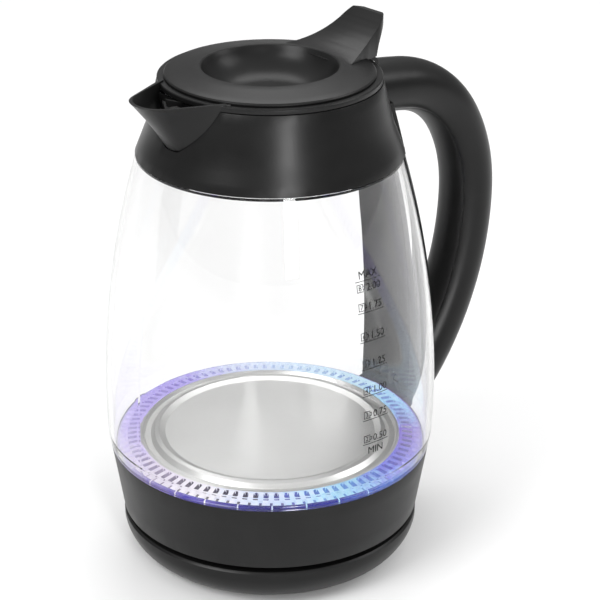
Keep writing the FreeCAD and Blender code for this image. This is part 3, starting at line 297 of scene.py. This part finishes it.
# ---------------------------------------------------------------- meshes
def make_piece(name, corners, faces, material, body):
    """A painted piece with outward faces, carried by that body."""
    mesh = bpy.data.meshes.new(name)
    mesh.from_pydata(corners, [], faces)
    shape = bmesh.new()
    shape.from_mesh(mesh)
    bmesh.ops.recalc_face_normals(shape, faces=shape.faces)
    shape.to_mesh(mesh)
    shape.free()
    piece = bpy.data.objects.new(name, mesh)
    SCENE.collection.objects.link(piece)
    paint(piece, material)
    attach(piece, body)
    return piece


def ring_of_sections(count, section):
    """The corners and faces of a closed ring about Z. section(number) gives the (radius, height) points
    of one cut."""
    corners, faces = [], []
    for number in range(count):
        turn = 2 * math.pi * number / count
        corners += [(radius * math.cos(turn), radius * math.sin(turn), height)
                    for radius, height in section(number)]
    size = len(corners) // count
    for number in range(count):
        here, there = number * size, (number + 1) % count * size
        for step in range(size):
            after = (step + 1) % size
            faces.append((here + step, there + step, there + after, here + after))
    return corners, faces


# ---------------------------------------------------------------- the ribbed light ring
RIBS = 90
CUTS_PER_RIB = 8
RIB_DEPTH = 1.5 * MM
RING_WIDTH = 12.0 * MM
RIM_DROP = 1.3 * MM                 # the top falls that much from its inner edge to its rim
SHORT_SHARE = 0.7                   # the short cuts are shallower
CUT_SLOPE = 0.3 * MM
GAP_SHARE = 0.45                    # a face deeper than that share of a cut has the gaps' colour, a glow darkened as painted shade
LONG_CUTS = (0, 1, 2)
SHORT_CUTS = (4, 5, 6)
PAINTED_GLINT_EVERY = 3 * CUTS_PER_RIB
PAINTED_GLINT_PHASE = 5
CLEAR_FACE, SHADED_GAP_FACE, EDGE_FACE = 0, 1, 2


def make_light_ring():
    """A clear ring with two rows of cuts between its ribs, long ones inside and short ones near the rim,
    half a pitch apart."""
    low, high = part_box("light_ring")
    inner, outer = high.x - RING_WIDTH, high.x
    inner_top, rim_top = high.z, high.z - RIM_DROP
    rise = (rim_top - inner_top) / (outer - inner)
    long_start, long_end = inner + 1.2 * MM, inner + 6.8 * MM
    short_start, short_end = inner + 7.2 * MM, outer - 1.2 * MM

    def top(radius):
        return inner_top + rise * (radius - inner)

    def section(number):
        phase = number % CUTS_PER_RIB
        long_drop = RIB_DEPTH if phase in LONG_CUTS else 0.0
        short_drop = RIB_DEPTH * SHORT_SHARE if phase in SHORT_CUTS else 0.0
        cut = [(inner, low.z), (inner, top(inner) - 0.4 * MM), (inner + 0.4 * MM, top(inner))]
        for start, end, drop in ((long_start, long_end, long_drop), (short_start, short_end, short_drop)):
            cut += [(start, top(start)), (start + CUT_SLOPE, top(start) - drop),
                    (end - CUT_SLOPE, top(end) - drop), (end, top(end))]
        return cut + [(outer - 0.6 * MM, rim_top), (outer - 0.2 * MM, rim_top - 0.1 * MM),
                      (outer, rim_top - 0.5 * MM), (outer, low.z)]

    corners, faces = ring_of_sections(RIBS * CUTS_PER_RIB, section)
    ring = make_piece("light_ring_ribbed", corners, faces, FINISH["clear_plastic"], "jug")
    ring.data.materials.append(RING_GAPS_PAINTED_SHADE)
    ring.data.materials.append(RING_EDGE)
    points_per_cut = len(corners) // (RIBS * CUTS_PER_RIB)
    for face in ring.data.polygons:
        middle = face.center
        reach = math.hypot(middle.x, middle.y)
        place = face.index // points_per_cut % PAINTED_GLINT_EVERY
        if reach > short_end:
            # painted glints: every third rib one rim face keeps the brighter ring glow instead of the dark
            # rim glow
            face.material_index = CLEAR_FACE if place == PAINTED_GLINT_PHASE else EDGE_FACE
        # faces deep in the cuts take the darker gap glow: painted shade in the cuts
        elif middle.z < top(reach) - GAP_SHARE * RIB_DEPTH and long_start < reach < short_end:
            face.material_index = SHADED_GAP_FACE
    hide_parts("light_ring")


# ---------------------------------------------------------------- the level scale on the glass
SCALE_TURN = math.radians(-92.6)
SCALE_HALF = math.radians(5.85)
LINES = (    # litres, cups, height in mm
    ("2.00", "8", 169.4), ("1.75", "7", 154.5), ("1.50", "6", 140.5), ("1.25", "5", 127.1),
    ("1.00", "4", 113.7), ("0.75", "3", 101.35), ("0.50", "2", 88.8),
)
PRINT_LIFT = 0.10 * MM
PRINT_DEPTH = 0.05 * MM
LINE_PEN = 0.30 * MM
ICON_PEN = 0.28 * MM
ICON_HALF, ICON_TALL = 1.75 * MM, 3.7 * MM
ICON_EAR = 0.9 * MM
ICON_PLACE, FIGURE_PLACE = -5.2 * MM, 2.6 * MM
UNDER_LINE, OVER_LINE = -4.9 * MM, 1.1 * MM
FIGURE_SIZE, WORD_SIZE, DIGIT_SIZE = 5.0 * MM, 5.2 * MM, 3.4 * MM


def glass_reach(height):
    """The radius of the glass's outer side at that height."""
    outside, inward = Vector((0.0, -0.2, height)), Vector((0.0, 1.0, 0.0))
    _, point, _, _ = NODES["glass_body"].ray_cast(outside, inward)
    return -point.y


def flat_text(words, size, across, up):
    """The corners and faces of a word in the XY plane, centred on across and standing on up. It is made
    at a height of one metre and then scaled, because tiny letters don't fill cleanly."""
    writing = bpy.data.curves.new(words, "FONT")
    writing.body = words
    writing.align_x = "CENTER"
    writing.extrude = PRINT_DEPTH / 2 / size
    writing.resolution_u = 3
    holder = bpy.data.objects.new(words, writing)
    SCENE.collection.objects.link(holder)
    mesh = bpy.data.meshes.new_from_object(holder)
    corners = [(corner.co.x * size + across, corner.co.y * size + up, corner.co.z * size)
               for corner in mesh.vertices]
    faces = [tuple(face.vertices) for face in mesh.polygons]
    bpy.data.objects.remove(holder)
    return corners, faces


def flat_bar(left, right, bottom, top, steps=12):
    """A printed line: a thin bar cut into steps, so that it can follow the glass."""
    corners, faces = [], []
    for number in range(steps + 1):
        across = left + (right - left) * number / steps
        corners += [(across, bottom, -PRINT_DEPTH / 2), (across, top, -PRINT_DEPTH / 2),
                    (across, top, PRINT_DEPTH / 2), (across, bottom, PRINT_DEPTH / 2)]
    for number in range(steps):
        here, there = 4 * number, 4 * number + 4
        faces += [(here + side, here + (side + 1) % 4, there + (side + 1) % 4, there + side)
                  for side in range(4)]
    end = 4 * steps
    faces += [(0, 3, 2, 1), (end, end + 1, end + 2, end + 3)]
    return corners, faces


def print_on_glass(name, parts, height):
    """Joins flat parts into one piece and wraps it on the glass round the scale's middle, from that
    height up."""
    corners, faces = [], []
    for part_corners, part_faces in parts:
        start = len(corners)
        faces += [tuple(index + start for index in face) for face in part_faces]
        for across, up, out in part_corners:
            reach = glass_reach(height + up) + PRINT_LIFT + out
            turn = SCALE_TURN + across / reach
            corners.append((reach * math.cos(turn), reach * math.sin(turn), height + up))
    label = make_piece(name, corners, faces, INK, "jug")


def cup_icon(across, up, digit):
    """A small cup outline with its number of cups inside and an ear on its right."""
    left, right, ear = across - ICON_HALF, across + ICON_HALF, across + ICON_HALF + ICON_EAR
    top = up + ICON_TALL
    ear_low, ear_high = up + 0.35 * ICON_TALL, up + 0.75 * ICON_TALL
    return [
        flat_bar(left, right, up, up + ICON_PEN, 4),
        flat_bar(left, right, top - ICON_PEN, top, 4),
        flat_bar(left, left + ICON_PEN, up, top, 1),
        flat_bar(right - ICON_PEN, right, up, top, 1),
        flat_bar(right, ear, ear_high - ICON_PEN, ear_high, 1),
        flat_bar(right, ear, ear_low - ICON_PEN, ear_low, 1),
        flat_bar(ear - ICON_PEN, ear, ear_low, ear_high, 1),
        flat_text(digit, DIGIT_SIZE, across, up + 0.7 * MM),
    ]


def make_scale():
    """Seven lines with litres and cups. The first line's figures hang below it, the others' stand on it."""
    top_line, bottom_line = LINES[0][2] * MM, LINES[-1][2] * MM
    half = glass_reach(top_line) * SCALE_HALF
    for number, (litres, cups, height) in enumerate(LINES):
        up = UNDER_LINE if number == 0 else OVER_LINE
        parts = [flat_bar(-half, half, 0.0, LINE_PEN)]
        parts += cup_icon(ICON_PLACE, up, cups)
        parts.append(flat_text(litres, FIGURE_SIZE, FIGURE_PLACE, up))
        print_on_glass("scale_" + litres, parts, height * MM)
    print_on_glass("scale_max", [flat_text("MAX", WORD_SIZE, 0.0, 0.0)], top_line + 1.3 * MM)
    print_on_glass("scale_min", [flat_text("MIN", WORD_SIZE, 0.0, 0.0)], bottom_line - 5.2 * MM)


# ---------------------------------------------------------------- the finger tab in the spout
TAB_HALF = 0.9 * MM
TAB_EDGE = 0.35 * MM
TAB_OUTLINE = (    # mm forward of the filter's frame and above its top
    (-0.3, -0.6), (9.0, 0.2), (10.2, 4.4), (8.4, 3.6), (-0.3, 0.3),
)


def make_finger_tab():
    """The filter's finger tab: a thin upright wedge with rounded edges that leans out of the spout."""
    frame_low, frame_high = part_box("spout_filter_frame")
    outline = [(frame_low.x - ahead * MM, frame_high.z + above * MM) for ahead, above in TAB_OUTLINE]
    count = len(outline)
    corners = [(x, side, z) for side in (-TAB_HALF, TAB_HALF) for x, z in outline]
    faces = [tuple(range(count)), tuple(range(2 * count - 1, count - 1, -1))]
    faces += [(step, step + count, (step + 1) % count + count, (step + 1) % count) for step in range(count)]
    tab = make_piece("filter_finger_tab", corners, faces, FINISH["dark_plastic"], "jug")
    soft = tab.modifiers.new("soft_edges", "BEVEL")
    soft.width = TAB_EDGE
    soft.segments = 3


# ---------------------------------------------------------------- stage
FLOOR_REACH = 6.0
SKY = (    # brightness from straight down to straight up
    (0.0, 0.28), (0.5, 0.30), (0.66, 0.36), (0.77, 0.52), (0.88, 1.1), (1.0, 1.4),
)
LAMPS = (    # name, place, size, watts
    ("key_light", (-1.5, -0.1, 1.4), (0.9, 0.9), 20.0),
    ("strip_light", (-0.60, -1.32, 0.52), (0.24, 0.74), 12.0),
    ("fill_light", (1.2, -0.9, 1.3), (0.8, 0.8), 8.0),
    ("back_light", (0.9, 1.0, 2.0), (1.2, 1.2), 13.0),
)
AIM = Vector((0, 0, 0.13))          # the middle of the kettle


def make_world():
    world = bpy.data.worlds.new("studio")
    SCENE.world = world
    world.use_nodes = True
    tree = world.node_tree
    tree.nodes.clear()
    out = add(tree, "ShaderNodeOutputWorld")
    sky = add(tree, "ShaderNodeBackground", in_Strength=0.85)
    place = add(tree, "ShaderNodeTexCoord")
    apart = add(tree, "ShaderNodeSeparateXYZ")
    light = ramp(tree, [(height, grey(level)) for height, level in SKY])
    height = add(tree, "ShaderNodeMapRange", in_From_Min=-1.0, in_From_Max=1.0)
    link(tree, place, "Generated", apart, "Vector")
    link(tree, apart, "Z", height, "Value")
    link(tree, height, "Result", light, "Fac")
    link(tree, light, "Color", sky, "Color")
    link(tree, sky, "Background", out, "Surface")


def make_floor():
    mesh = bpy.data.meshes.new("floor")
    corners = [(-FLOOR_REACH, -FLOOR_REACH, 0), (FLOOR_REACH, -FLOOR_REACH, 0),
               (FLOOR_REACH, FLOOR_REACH, 0), (-FLOOR_REACH, FLOOR_REACH, 0)]
    mesh.from_pydata(corners, [], [(0, 1, 2, 3)])
    floor = bpy.data.objects.new("floor", mesh)
    SCENE.collection.objects.link(floor)
    paint(floor, surface("floor_paint", grey(0.84), grey(0.86), (0.6, 0.7), patch=2.0, bump=0.0))


def make_lamps():
    for name, place, size, power in LAMPS:
        lamp = bpy.data.lights.new(name, "AREA")
        lamp.shape = "RECTANGLE"
        lamp.size, lamp.size_y = size
        lamp.energy = power
        holder = bpy.data.objects.new(name, lamp)
        SCENE.collection.objects.link(holder)
        holder.location = place
        holder.rotation_mode = "QUATERNION"
        holder.rotation_quaternion = (AIM - Vector(place)).to_track_quat("-Z", "Y")


CAMERA_AWAY, CAMERA_HEIGHT = 0.8896, 0.5348
CAMERA_TURN, CAMERA_PITCH = math.radians(-40.0), 24.33


def make_camera():
    camera = bpy.data.cameras.new("camera")
    camera.lens = 119.0
    camera.sensor_width = 36.0
    camera.shift_x = 0.050
    camera.clip_end = 50.0
    holder = bpy.data.objects.new("camera", camera)
    SCENE.collection.objects.link(holder)
    holder.location = (math.sin(CAMERA_TURN) * CAMERA_AWAY, -math.cos(CAMERA_TURN) * CAMERA_AWAY,
                       CAMERA_HEIGHT)
    holder.rotation_euler = (math.radians(90.0 - CAMERA_PITCH), 0.0, CAMERA_TURN)
    SCENE.camera = holder


paint_nodes()
round_edges()
make_light_ring()
make_scale()
make_finger_tab()
make_world()
make_floor()
make_lamps()
make_camera()
SCENE.view_settings.view_transform = "Standard"
